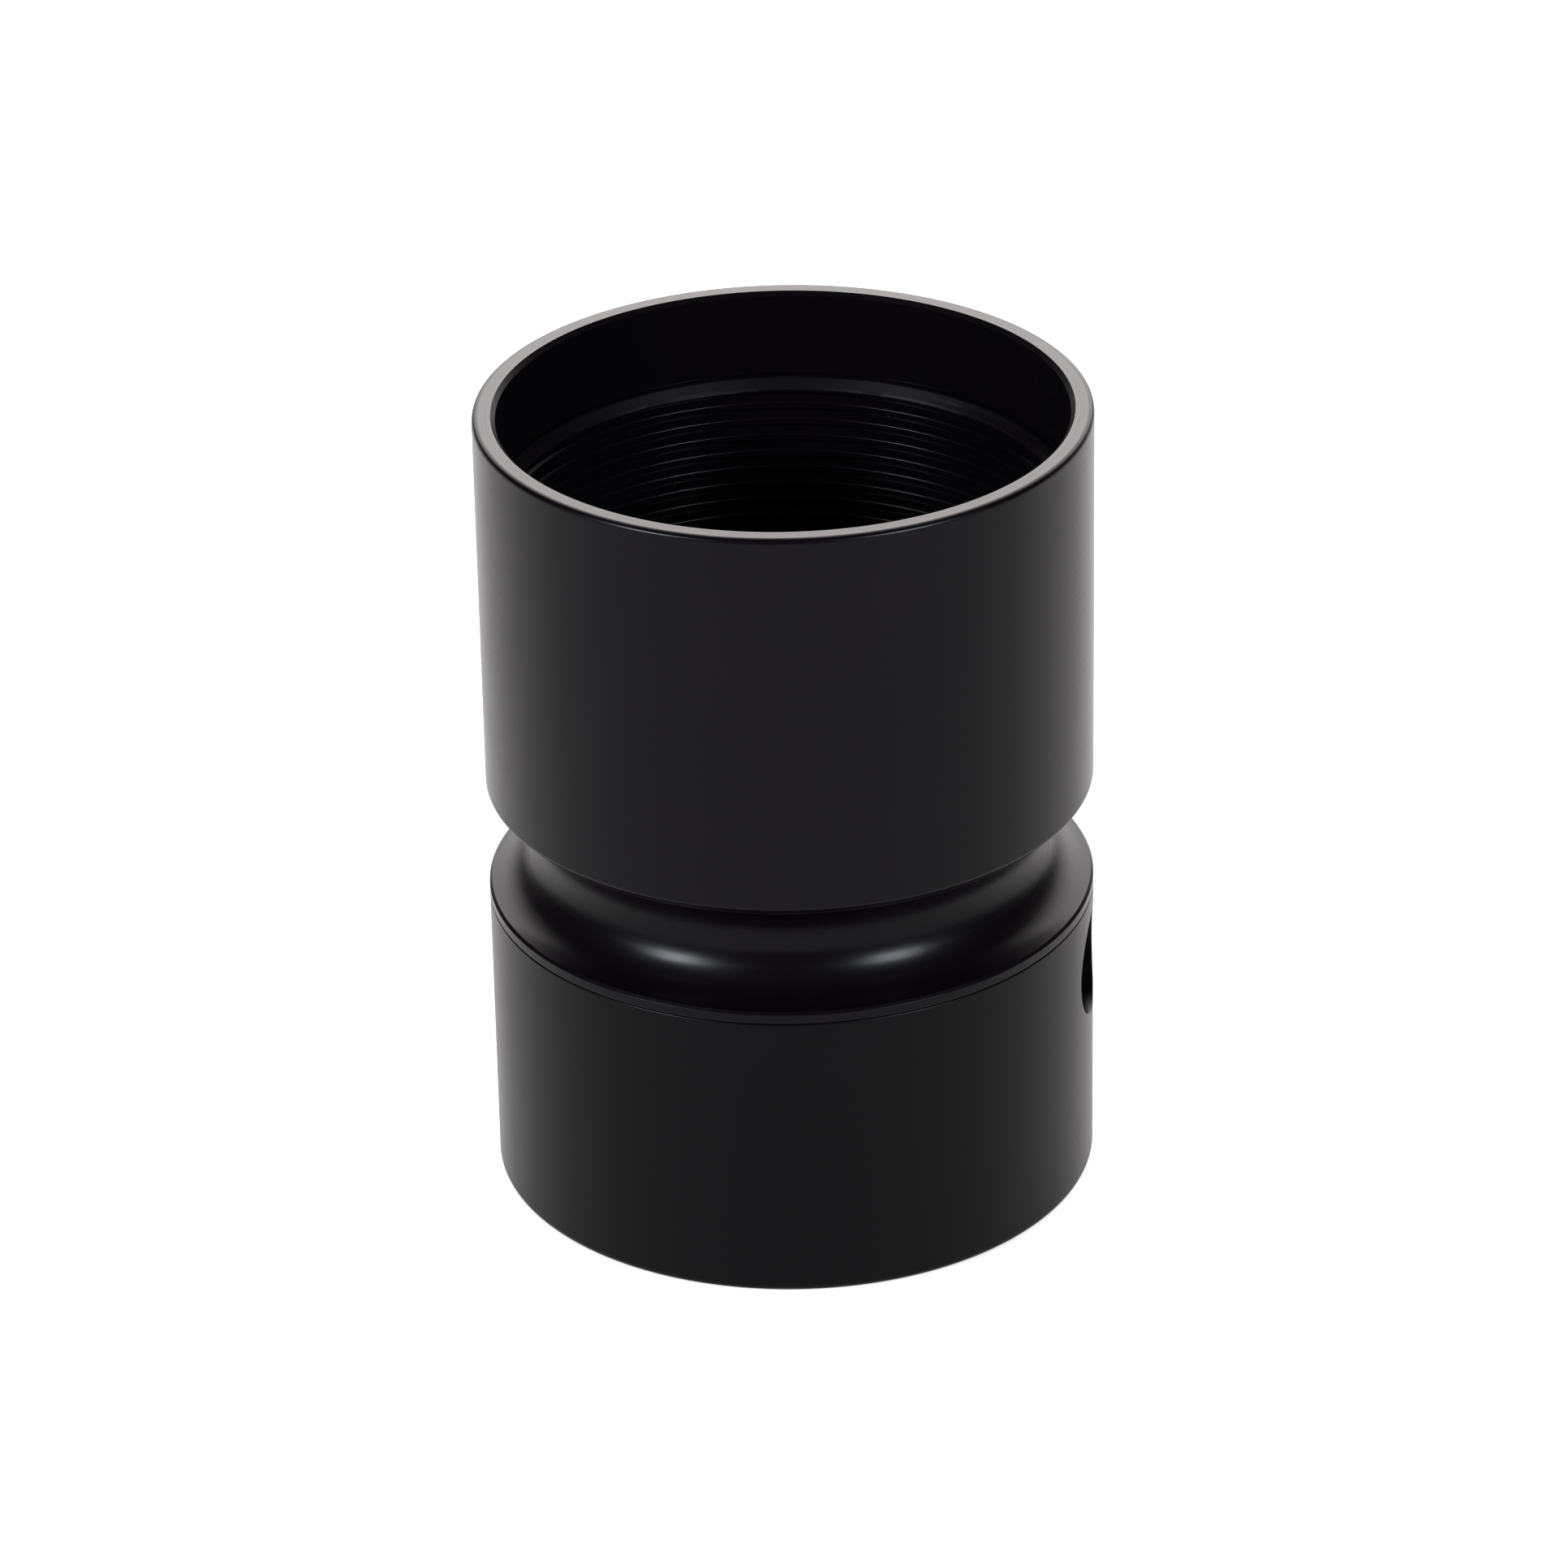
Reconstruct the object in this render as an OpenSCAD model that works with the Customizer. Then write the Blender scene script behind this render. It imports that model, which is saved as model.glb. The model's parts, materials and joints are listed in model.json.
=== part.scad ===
/* [Body] */
// Outside diameter of both cylinders
body_d = 34.5; // [34:0.1:36]
// Height of the whole body
body_h = 46.7; // [46:0.1:50]
// Size of the chamfer between the rim and the outside
rim_outer_chamfer = 0.3; // [0.1:0.01:0.5]
// Size of the chamfer between the rim and the mouth bore
rim_inner_chamfer = 0.25; // [0.1:0.01:0.4]

/* [Mouth] */
// Diameter of the smooth bore behind the rim
mouth_d = 31.9; // [31.7:0.05:32.1]
// Depth of the smooth bore
mouth_depth = 5.15; // [4:0.05:6]
// Crest diameter of the mouth thread
mouth_thread_d = 30.6; // [30.4:0.05:30.8]
// Pitch of the mouth thread
mouth_pitch = 1; // [0.75:0.25:1]

/* [Waist] */
// Height of the waist groove's centre line
waist_z = 20.9; // [20.8:0.05:21]
// Radius of the waist groove's round section
waist_r = 3; // [2.8:0.05:3.05]
// Height of the seam between the barrel and the eyepiece holder
seam_z = 17.2; // [16.8:0.1:17.3]

/* [Eyepiece holder] */
// Diameter of the eyepiece socket
socket_d = 24.56; // [24.5:0.01:24.6]
// Height of the clamp screw's axis
clamp_z = 12.8; // [8:0.1:13.5]
// Diameter of the clamp hole where it meets the outside
clamp_mouth_d = 6.25; // [6.1:0.05:6.5]

/* [Lens cell] */
// Outside diameter of the lens elements
lens_d = 24; // [23.6:0.1:24]
// Diameter of the clear aperture
aperture_d = 21.2; // [20:0.1:21.6]

/* [Hidden] */
$fn = 96;
glass_fn = 360;
eps = 0.01;
over = 2;

// Body
body_r = body_d / 2;
mouth_r = mouth_d / 2;
mouth_floor_z = body_h - mouth_depth;
step_w = 0.2;
step_h = 0.1;
bore_relief_w = 0.18;
bore_relief_h = 0.12;

// Mouth thread: crest radius, groove depth and the stretch that it fills
thread_crest_r = mouth_thread_d / 2;
thread_depth = 0.5;
lead_in_h = 0.6;
thread_top_z = mouth_floor_z - step_h - lead_in_h;
cell_seat_z = 30.3;
thread_relief_h = 0.6;
thread_low_z = cell_seat_z + thread_relief_h;
thread_turns = floor((thread_top_z - thread_low_z) / mouth_pitch);
crest_flat = 0.38;
root_flat = 0.06;

// Cell thread in the barrel and on the cell
cell_pitch = 0.6;
cell_hole_r = 13.93;
cell_thread_r = 13.87;
cell_thread_depth = 0.3;
cell_crest_flat = 0.2;
cell_root_flat = 0.04;
cell_floor_z = 25.1;
cell_turns = 7;
cell_thread_z = cell_seat_z - 0.4;
cell_hole_chamfer = 0.2;

// Neck and spigot
stop_z = 24;
stop_aperture_r = 11;
neck_bore_r = 13.2;
spigot_r = 13.15;
spigot_gap = 0.1;
spigot_chamfer = 0.3;
seam_gap = 0.02;
seam_chamfer = 0.12;
lip_chamfer = 0.45;
lip_top_z = waist_z + waist_r;
band_chamfer = 0.15;
band_top_z = waist_z - waist_r;

// Eyepiece socket
socket_r = socket_d / 2;
socket_lead = 0.6;
base_chamfer = 0.4;

// Clamp hole and screw, M6
tap_r = 3;
tap_groove_depth = 0.22;
tap_groove_half_w = 0.3;
tap_groove_x = 13.9;
tap_grooves = 3;
clamp_pitch = 1;
clamp_mouth_r = clamp_mouth_d / 2;
clamp_mouth_x = 16.6;
screw_r = 2.95;
screw_groove_depth = 0.4;
screw_crest_flat = 0.3;
screw_root_flat = 0.1;
screw_grooves = 2;
screw_end_land = 0.15;
screw_nose_x = 12.85;
screw_head_x = 16.35;
screw_chamfer = 0.35;
hex_flats = 3;
hex_depth = 1.7;
pad_r = 1.8;
pad_gap = 0.05;
pad_depth = 0.75;
pad_nose_x = 12.35;
pad_chamfer = 0.2;

// Cell, glass and ring
lens_r = lens_d / 2;
aperture_r = aperture_d / 2;
cell_base_z = 25.3;
cell_lip_h = 0.6;
cell_top_z = 30.8;
cell_flange_r = 14.9;
cell_flange_z = 30.35;
cell_bore_r = lens_r + 0.06;
cell_edge = 0.1;
cell_nose_chamfer = 0.15;
rear_surface_r = 80;
joint_surface_r = 55;
front_surface_r = 120;
crown_base_z = 25.95;
crown_edge_h = 3;
cement_gap = 0.02;
flint_edge_h = 0.9;
ring_base_z = 29.92;
ring_h = 0.8;
ring_chamfer = 0.2;
ring_slot_w = 1.4;
ring_slot_depth = 0.45;
flange_notch_r = 0.8;

// Points of one thread groove, from its upper edge to its lower edge
function groove(crest_r, root_r, z, pitch, crest, root) = [
    [crest_r, z],
    [root_r, z - (pitch - crest - root) / 2],
    [root_r, z - (pitch - crest + root) / 2],
    [crest_r, z - (pitch - crest)]
];

// Points of a run of thread grooves going down from z
function grooves(crest_r, root_r, z, pitch, crest, root, turns) = [
    for (i = [0:turns - 1])
        for (p = groove(crest_r, root_r, z - i * pitch, pitch, crest, root)) p
];

// Depth of a spherical surface at radius r
function sag(surface_r, r) = surface_r - sqrt(surface_r * surface_r - r * r);

// Outline of the upper barrel, inside from top to bottom and outside back up
function barrel_outline() = concat(
    [
        [body_r - rim_outer_chamfer, body_h],
        [mouth_r + rim_inner_chamfer, body_h],
        [mouth_r, body_h - rim_inner_chamfer],
        [mouth_r, mouth_floor_z + bore_relief_h],
        [mouth_r + bore_relief_w, mouth_floor_z + bore_relief_h],
        [mouth_r + bore_relief_w, mouth_floor_z],
        [mouth_r - step_w, mouth_floor_z],
        [mouth_r - step_w, mouth_floor_z - step_h],
        [thread_crest_r, thread_top_z]
    ],
    grooves(
        thread_crest_r, thread_crest_r + thread_depth, thread_top_z - crest_flat,
        mouth_pitch, crest_flat, root_flat, thread_turns
    ),
    [
        [thread_crest_r, thread_low_z],
        [thread_crest_r + thread_depth, thread_low_z],
        [thread_crest_r + thread_depth, cell_seat_z],
        [cell_hole_r + cell_hole_chamfer, cell_seat_z],
        [cell_hole_r, cell_seat_z - cell_hole_chamfer]
    ],
    grooves(
        cell_hole_r, cell_hole_r + cell_thread_depth, cell_thread_z,
        cell_pitch, cell_crest_flat, cell_root_flat, cell_turns
    ),
    [
        [cell_hole_r, cell_floor_z],
        [stop_aperture_r, cell_floor_z],
        [stop_aperture_r, stop_z],
        [neck_bore_r, stop_z],
        [neck_bore_r, seam_z],
        [body_r - seam_chamfer, seam_z],
        [body_r, seam_z + seam_chamfer],
        [body_r, band_top_z - band_chamfer],
        [body_r - band_chamfer, band_top_z],
        [body_r - waist_r, band_top_z],
        [body_r - waist_r, lip_top_z],
        [body_r - lip_chamfer, lip_top_z],
        [body_r, lip_top_z + lip_chamfer],
        [body_r, body_h - rim_outer_chamfer]
    ]
);

// Fills the square waist of the outline down to the round section
module waist_fillets() {
    rotate_extrude()
        difference() {
            translate([body_r - waist_r - eps, band_top_z - eps])
                square([waist_r - lip_chamfer + eps, 2 * (waist_r + eps)]);
            translate([body_r, waist_z])
                circle(r = waist_r);
        }
}

// Straight piece along +X from the body's axis
module along_x(x0, x1, r) {
    translate([x0, 0, clamp_z])
        rotate([0, 90, 0])
            cylinder(h = x1 - x0, r = r);
}

// Upper cylinder, neck and the thin band under the waist
module upper_barrel() {
    color("#242426")
        union() {
            rotate_extrude()
                polygon(barrel_outline());
            waist_fillets();
        }
}

// Tapped clamp hole, with a wider plain mouth
module clamp_hole() {
    along_x(socket_r - over, body_r + over, tap_r);
    along_x(clamp_mouth_x, body_r + over, clamp_mouth_r);
    for (i = [0:tap_grooves - 1])
        translate([tap_groove_x + i * clamp_pitch, 0, clamp_z])
            rotate([0, 90, 0])
                rotate_extrude()
                    polygon([
                        [tap_r - eps, -tap_groove_half_w],
                        [tap_r + tap_groove_depth, 0],
                        [tap_r - eps, tap_groove_half_w]
                    ]);
}

// Lower cylinder with the eyepiece socket and the spigot that holds the barrel
module eyepiece_holder() {
    color("#212124")
        difference() {
            rotate_extrude()
                polygon([
                    [socket_r + socket_lead, 0],
                    [body_r - base_chamfer, 0],
                    [body_r, base_chamfer],
                    [body_r, seam_z - seam_chamfer],
                    [body_r - seam_chamfer, seam_z - seam_gap],
                    [spigot_r, seam_z - seam_gap],
                    [spigot_r, stop_z - spigot_gap - spigot_chamfer],
                    [spigot_r - spigot_chamfer, stop_z - spigot_gap],
                    [socket_r, stop_z - spigot_gap],
                    [socket_r, socket_lead]
                ]);
            clamp_hole();
        }
}

// Threaded cell that carries the two lenses
module lens_cell() {
    color("#2b2b2e")
        difference() {
            rotate_extrude()
                polygon(concat(
                    [
                        [aperture_r, cell_base_z],
                        [aperture_r, cell_base_z + cell_lip_h],
                        [cell_bore_r, cell_base_z + cell_lip_h],
                        [cell_bore_r, cell_top_z - cell_edge],
                        [cell_bore_r + cell_edge, cell_top_z],
                        [cell_flange_r - cell_edge, cell_top_z],
                        [cell_flange_r, cell_top_z - cell_edge],
                        [cell_flange_r, cell_flange_z],
                        [cell_thread_r, cell_flange_z]
                    ],
                    grooves(
                        cell_thread_r, cell_thread_r - cell_thread_depth, cell_thread_z,
                        cell_pitch, cell_crest_flat, cell_root_flat, cell_turns
                    ),
                    [
                        [cell_thread_r, cell_base_z + cell_nose_chamfer],
                        [cell_thread_r - cell_nose_chamfer, cell_base_z]
                    ]
                ));
            for (side = [-1, 1])
                translate([0, side * cell_flange_r, cell_flange_z])
                    cylinder(h = over, r = flange_notch_r);
        }
}

// Plain glass disc that a lens is ground from
module lens_blank(base_z, h) {
    translate([0, 0, base_z])
        cylinder(h = h, r = lens_r);
}

// Rear element, hollow on both faces
module crown_lens() {
    edge_top_z = crown_base_z + crown_edge_h;
    color("#b9cfd6", 0.45)
        difference() {
            lens_blank(crown_base_z, crown_edge_h);
            translate([0, 0, crown_base_z + sag(rear_surface_r, aperture_r) - rear_surface_r])
                sphere(r = rear_surface_r, $fn = glass_fn);
            translate([0, 0, edge_top_z - sag(joint_surface_r, lens_r) + joint_surface_r])
                sphere(r = joint_surface_r, $fn = glass_fn);
        }
}

// Front element, bulging into the crown and hollow on its front face
module flint_lens() {
    edge_base_z = crown_base_z + crown_edge_h + cement_gap;
    edge_top_z = edge_base_z + flint_edge_h;
    color("#b4c4d8", 0.45)
        difference() {
            intersection() {
                translate([0, 0, edge_base_z - sag(joint_surface_r, lens_r)])
                    cylinder(h = edge_top_z - edge_base_z + sag(joint_surface_r, lens_r), r = lens_r);
                translate([0, 0, edge_base_z - sag(joint_surface_r, lens_r) + joint_surface_r])
                    sphere(r = joint_surface_r, $fn = glass_fn);
            }
            translate([0, 0, edge_top_z - sag(front_surface_r, aperture_r) + front_surface_r])
                sphere(r = front_surface_r, $fn = glass_fn);
        }
}

// Notched ring that holds the lenses down in the cell
module retaining_ring() {
    color("#2b2b2e")
        difference() {
            rotate_extrude()
                polygon([
                    [aperture_r, ring_base_z],
                    [lens_r, ring_base_z],
                    [lens_r, ring_base_z + ring_h],
                    [aperture_r + ring_chamfer, ring_base_z + ring_h],
                    [aperture_r, ring_base_z + ring_h - ring_chamfer]
                ]);
            for (side = [0, 180])
                rotate([0, 0, side])
                    translate([aperture_r - over, -ring_slot_w / 2, ring_base_z + ring_h - ring_slot_depth])
                        cube([lens_r - aperture_r + 2 * over, ring_slot_w, over]);
        }
}

// Clamp screw without a head, driven by a hexagon socket
module set_screw() {
    length = screw_head_x - screw_nose_x;
    translate([screw_nose_x, 0, clamp_z])
        rotate([0, 90, 0])
            color("#38383a")
                difference() {
                    rotate_extrude()
                        polygon(concat(
                            [
                                [0, 0],
                                [0, length],
                                [screw_r - screw_chamfer, length],
                                [screw_r, length - screw_chamfer]
                            ],
                            grooves(
                                screw_r, screw_r - screw_groove_depth,
                                length - screw_chamfer - screw_end_land,
                                clamp_pitch, screw_crest_flat, screw_root_flat, screw_grooves
                            ),
                            [
                                [screw_r, screw_chamfer],
                                [screw_r - screw_chamfer, 0]
                            ]
                        ));
                    translate([0, 0, -eps])
                        cylinder(h = pad_depth + eps, r = pad_r + pad_gap);
                    translate([0, 0, length - hex_depth])
                        cylinder(h = over + hex_depth, r = hex_flats / 2 / cos(30), $fn = 6);
                }
}

// Soft pad in the nose of the clamp screw
module screw_tip() {
    length = screw_nose_x + pad_depth - pad_gap - pad_nose_x;
    color("#e6e2d6")
        translate([pad_nose_x, 0, clamp_z])
            rotate([0, 90, 0])
                rotate_extrude()
                    polygon([
                        [0, 0],
                        [pad_r - pad_chamfer, 0],
                        [pad_r, pad_chamfer],
                        [pad_r, length],
                        [0, length]
                    ]);
}

upper_barrel();
eyepiece_holder();
lens_cell();
crown_lens();
flint_lens();
retaining_ring();
set_screw();
screw_tip();
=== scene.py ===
"""Barlow lens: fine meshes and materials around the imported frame. All lengths are in metres."""
import json
import math

import bmesh
import bpy
import numpy as np
from mathutils import Matrix, Vector


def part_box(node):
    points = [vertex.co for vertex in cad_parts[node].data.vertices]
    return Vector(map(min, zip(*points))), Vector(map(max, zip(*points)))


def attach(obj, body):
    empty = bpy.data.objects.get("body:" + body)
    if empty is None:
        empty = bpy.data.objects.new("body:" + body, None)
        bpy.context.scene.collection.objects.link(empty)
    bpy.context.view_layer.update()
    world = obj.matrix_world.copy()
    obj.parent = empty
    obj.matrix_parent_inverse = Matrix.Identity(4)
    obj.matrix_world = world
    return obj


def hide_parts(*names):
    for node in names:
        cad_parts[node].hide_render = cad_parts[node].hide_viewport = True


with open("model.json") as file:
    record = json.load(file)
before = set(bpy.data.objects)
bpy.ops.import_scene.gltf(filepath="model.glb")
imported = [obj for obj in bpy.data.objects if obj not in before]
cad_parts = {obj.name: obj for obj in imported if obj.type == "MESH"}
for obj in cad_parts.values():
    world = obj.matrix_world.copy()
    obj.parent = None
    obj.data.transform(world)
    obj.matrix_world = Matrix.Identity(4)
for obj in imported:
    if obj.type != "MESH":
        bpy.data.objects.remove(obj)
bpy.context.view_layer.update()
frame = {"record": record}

MM = 0.001
TAU = 2 * math.pi

# ---------------------------------------------------------------- sizes read from the frame
barrel_low, barrel_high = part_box("upper_barrel")
_, holder_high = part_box("eyepiece_holder")
cell_low, cell_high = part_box("lens_cell")
ring_low, ring_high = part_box("retaining_ring")
crown_low, crown_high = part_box("crown_lens")
_, flint_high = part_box("flint_lens")
screw_low, screw_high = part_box("set_screw")
tip_low, tip_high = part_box("screw_tip")
mounts = {m["name"]: m for m in frame["record"]["mounts"]}

BODY_R = barrel_high.x
TOP_Z = barrel_high.z
SEAM_Z = barrel_low.z
MOUTH_R = mounts["mouth_bore"]["dims"]["r_mm"] * MM
THREAD_R = mounts["mouth_thread"]["dims"]["r_mm"] * MM
SOCKET_R = mounts["eyepiece_socket"]["dims"]["r_mm"] * MM
CLAMP_Z = (screw_low.z + screw_high.z) / 2
LENS_R = crown_high.x

# ---------------------------------------------------------------- mesh helpers

SUPPORT_SHARE = 0.15
WELD_DISTANCE = 2e-7
SLIVER_LENGTH = 1e-7
SHARP_ANGLE = math.radians(35)
GROOVE_EASE = 0.16


def fillet(points, segments=5, closed=True):
    """Turns an outline of (r, z, corner radius) into points, with support points beside each round corner."""
    out = []
    count = len(points)
    for i, (r, z, size) in enumerate(points):
        here = np.array([r, z])
        if size <= 0 or (not closed and i in (0, count - 1)):
            out.append(here)
            continue
        before = np.array(points[i - 1][:2])
        after = np.array(points[(i + 1) % count][:2])
        u = (before - here) / np.linalg.norm(before - here)
        v = (after - here) / np.linalg.norm(after - here)
        angle = math.acos(np.clip(np.dot(u, v), -1, 1))
        run = size / math.tan(angle / 2)
        middle = here + (u + v) / np.linalg.norm(u + v) * size / math.sin(angle / 2)
        start, end = here + u * run, here + v * run
        a0 = math.atan2(*(start - middle)[::-1])
        sweep = (math.atan2(*(end - middle)[::-1]) - a0 + math.pi) % TAU - math.pi
        out.append(start + u * size * SUPPORT_SHARE)
        for a in np.linspace(a0, a0 + sweep, segments + 1):
            out.append(middle + size * np.array([math.cos(a), math.sin(a)]))
        out.append(end + v * size * SUPPORT_SHARE)
    return out


def arc(centre_r, centre_z, radius, a0, a1, segments):
    """Points along a round stretch of an outline, angles in degrees."""
    angles = np.radians(np.linspace(a0, a1, segments + 1))
    return [np.array([centre_r + radius * math.cos(a), centre_z + radius * math.sin(a)]) for a in angles]


class Lathe:
    """Rows of points round the Z axis, joined into one closed mesh. A mark is a face's material slot."""

    def __init__(self, columns):
        self.columns = columns
        self.angle = np.arange(columns) * TAU / columns
        self.vertices = []
        self.faces = []
        self.marks = []
        self.last = None
        self.first = None

    def _add(self, points):
        start = sum(len(v) for v in self.vertices)
        self.vertices.append(points)
        return list(range(start, start + len(points)))

    def _join(self, low, high, mark):
        n = self.columns
        for i in range(n):
            j = (i + 1) % n
            self.faces.append((low[i], low[j], high[j], high[i]))
            self.marks.append(mark)

    def ring(self, r, z, mark=0):
        r = np.broadcast_to(r, self.columns)
        z = np.broadcast_to(z, self.columns)
        row = self._add(np.stack([r * np.cos(self.angle), r * np.sin(self.angle), z], 1))
        if self.last is not None:
            self._join(self.last, row, mark)
        else:
            self.first = row
        self.last = row
        return self

    def rings(self, points, mark=0):
        for p in points:
            self.ring(p[0], p[1], mark)
        return self

    def thread(self, z0, z1, pitch, radius, rows_at, phase=0.0, mark=0):
        """A helical surface from z0 to z1. rows_at gives its rows as parts of the pitch, and radius takes
        the height and the part of a turn."""
        down = z1 < z0
        low_z, high_z = min(z0, z1), max(z0, z1)
        steps = len(rows_at)
        first = math.floor(low_z / pitch - phase) - 1
        count = steps * (math.ceil(high_z / pitch - phase) - first)
        share = self.angle / TAU
        rows = []
        for k in range(count + 1):
            level = first + k // steps + rows_at[k % steps] + phase
            z = np.clip((level + share) * pitch, low_z, high_z)
            r = radius(z, share)
            rows.append(self._add(np.stack([r * np.cos(self.angle), r * np.sin(self.angle), z], 1)))
        n = self.columns
        for k in range(count):
            for i in range(n - 1):
                self._quad(rows[k][i], rows[k][i + 1], rows[k + 1][i + 1], rows[k + 1][i], down, mark)
            a, b = min(k + steps, count), min(k + 1 + steps, count)
            self._quad(rows[k][n - 1], rows[a][0], rows[b][0], rows[k + 1][n - 1], down, mark)
        bottom, top = rows[0], rows[-1]
        if down:
            self._join(self.last, top, mark)
            self.last = bottom
        else:
            self._join(self.last, bottom, mark)
            self.last = top
        return self

    def _quad(self, a, b, c, d, flip, mark):
        self.faces.append((d, c, b, a) if flip else (a, b, c, d))
        self.marks.append(mark)

    def close(self, mark=0):
        self._join(self.last, self.first, mark)
        return self

    def _cap(self, row, z, mark):
        tip = self._add(np.array([[0.0, 0.0, z]]))[0]
        for a, b in zip(row, row[1:] + row[:1]):
            self.faces.append((a, b, tip))
            self.marks.append(mark)
        return self

    def cap_start(self, z, mark=0):
        """Closes the first row to a point on the axis."""
        return self._cap(self.first[::-1], z, mark)

    def cap_end(self, z, mark=0):
        """Closes the last row to a point on the axis."""
        return self._cap(self.last, z, mark)

    def mesh(self, name):
        return make_mesh(name, np.concatenate(self.vertices), self.faces, self.marks)


def make_mesh(name, vertices, faces, marks):
    """A clean closed mesh object: doubled points joined, normals outwards, hard corners kept sharp."""
    mesh = bpy.data.meshes.new(name)
    mesh.from_pydata([tuple(v) for v in vertices], [], faces)
    mesh.polygons.foreach_set("material_index", marks)
    edit = bmesh.new()
    edit.from_mesh(mesh)
    bmesh.ops.remove_doubles(edit, verts=edit.verts, dist=WELD_DISTANCE)
    bmesh.ops.dissolve_degenerate(edit, edges=edit.edges, dist=SLIVER_LENGTH)
    bmesh.ops.recalc_face_normals(edit, faces=edit.faces)
    edit.to_mesh(mesh)
    edit.free()
    mesh.shade_smooth()
    mesh.set_sharp_from_angle(angle=SHARP_ANGLE)
    obj = bpy.data.objects.new(name, mesh)
    bpy.context.scene.collection.objects.link(obj)
    return obj


def v_groove(z, turn, pitch, crest, root):
    """Depth, 0 to 1, of a V thread at height z. Its flats at crest and root are parts of a pitch."""
    off = np.abs((z / pitch - turn) % 1.0 - 0.5)
    half_open = (1 - crest) / 2
    half_root = root / 2
    depth = (half_open - off) / (half_open - half_root)
    ease = GROOVE_EASE
    near_crest = (np.clip(depth, -ease, ease) + ease) ** 2 / (4 * ease)
    near_root = 1 - (1 + ease - np.clip(depth, 0, 1 + ease)) ** 2 / (4 * ease)
    eased = np.where(depth < ease, near_crest, depth)
    return np.where(depth > 1 - ease, near_root, eased)


def smooth(x):
    """An eased step from 0 to 1."""
    x = np.clip(x, 0, 1)
    return x * x * (3 - 2 * x)


def use(obj, body, node, slot, *materials):
    """Gives a piece its materials and its body, and hides the CAD node it stands for. slot is not used."""
    for m in materials:
        obj.data.materials.append(m)
    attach(obj, body)
    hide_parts(node)
    return obj


def cut(obj, cutter):
    """Takes the cutter's shape out of obj and applies it."""
    bpy.context.view_layer.update()
    mod = obj.modifiers.new("cut", "BOOLEAN")
    mod.operation = "DIFFERENCE"
    mod.solver = "EXACT"
    mod.object = cutter
    graph = bpy.context.evaluated_depsgraph_get()
    mesh = bpy.data.meshes.new_from_object(obj.evaluated_get(graph))
    obj.modifiers.remove(mod)
    old = obj.data
    obj.data = mesh
    bpy.data.meshes.remove(old)
    bpy.data.objects.remove(cutter)
    mesh.shade_smooth()
    mesh.set_sharp_from_angle(angle=SHARP_ANGLE)
    return obj


# ---------------------------------------------------------------- materials

GRAIN_DEPTH = 0.01 * MM
NOISE_LOW = 0.3
NOISE_HIGH = 0.7
COATING_NM = 118.0
COATING_IOR = 1.38


def map_range(tree, value, low, high, to_low, to_high, eased=False):
    """A node that stretches low to high over to_low to to_high, held at both ends."""
    node = tree.nodes.new("ShaderNodeMapRange")
    if eased:
        node.interpolation_type = "SMOOTHSTEP"
    tree.links.new(value, node.inputs["Value"])
    for name, number in zip(("From Min", "From Max", "To Min", "To Max"), (low, high, to_low, to_high)):
        node.inputs[name].default_value = number
    return node.outputs["Result"]


class Nodes:
    """Short calls for building a material's node tree."""

    def __init__(self, name):
        self.material = bpy.data.materials.new(name)
        self.material.use_nodes = True
        self.tree = self.material.node_tree
        self.bsdf = self.tree.nodes["Principled BSDF"]

    def add(self, kind, **values):
        node = self.tree.nodes.new(kind)
        for key, value in values.items():
            setattr(node, key, value)
        return node

    def link(self, a, b):
        self.tree.links.new(a, b)

    def math(self, operation, a, b=None):
        node = self.add("ShaderNodeMath", operation=operation)
        for socket, value in zip(node.inputs, (a, b)):
            if value is None:
                continue
            if isinstance(value, (int, float)):
                socket.default_value = value
            else:
                self.link(value, socket)
        return node.outputs[0]

    def noise(self, scale, detail=2.0, vector=None, w=None):
        node = self.add("ShaderNodeTexNoise")
        if w is not None:
            node.noise_dimensions = "1D"
            self.link(w, node.inputs["W"])
        else:
            self.link(vector, node.inputs["Vector"])
        node.inputs["Scale"].default_value = scale
        node.inputs["Detail"].default_value = detail
        return node.outputs["Fac"]

    def remap(self, value, low, high, to_low, to_high):
        return map_range(self.tree, value, low, high, to_low, to_high)

    def vary(self, noise, to_low, to_high):
        """The usual range of a noise, stretched to run from to_low to to_high."""
        return self.remap(noise, NOISE_LOW, NOISE_HIGH, to_low, to_high)

    def mix(self, factor, a, b):
        node = self.add("ShaderNodeMix", data_type="RGBA")
        self.link(factor, node.inputs["Factor"])
        for socket, value in ((node.inputs["A"], a), (node.inputs["B"], b)):
            if isinstance(value, tuple):
                socket.default_value = value
            else:
                self.link(value, socket)
        return node.outputs["Result"]

    def place(self):
        """Object coordinates in millimetres, and height plus radius, which runs across every turned face."""
        coords = self.add("ShaderNodeTexCoord").outputs["Object"]
        scaled = self.add("ShaderNodeVectorMath", operation="SCALE")
        self.link(coords, scaled.inputs[0])
        scaled.inputs["Scale"].default_value = 1 / MM
        split = self.add("ShaderNodeSeparateXYZ")
        self.link(scaled.outputs[0], split.inputs[0])
        x2 = self.math("MULTIPLY", split.outputs[0], split.outputs[0])
        y2 = self.math("MULTIPLY", split.outputs[1], split.outputs[1])
        radius = self.math("SQRT", self.math("ADD", x2, y2))
        across = self.math("ADD", split.outputs[2], radius)
        return scaled.outputs[0], across

    def bump(self, height, strength, distance):
        node = self.add("ShaderNodeBump")
        node.inputs["Strength"].default_value = strength
        node.inputs["Distance"].default_value = distance
        self.link(height, node.inputs["Height"])
        self.link(node.outputs[0], self.bsdf.inputs["Normal"])

    def set(self, **values):
        for key, value in values.items():
            self.bsdf.inputs[key.replace("_", " ")].default_value = value


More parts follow.
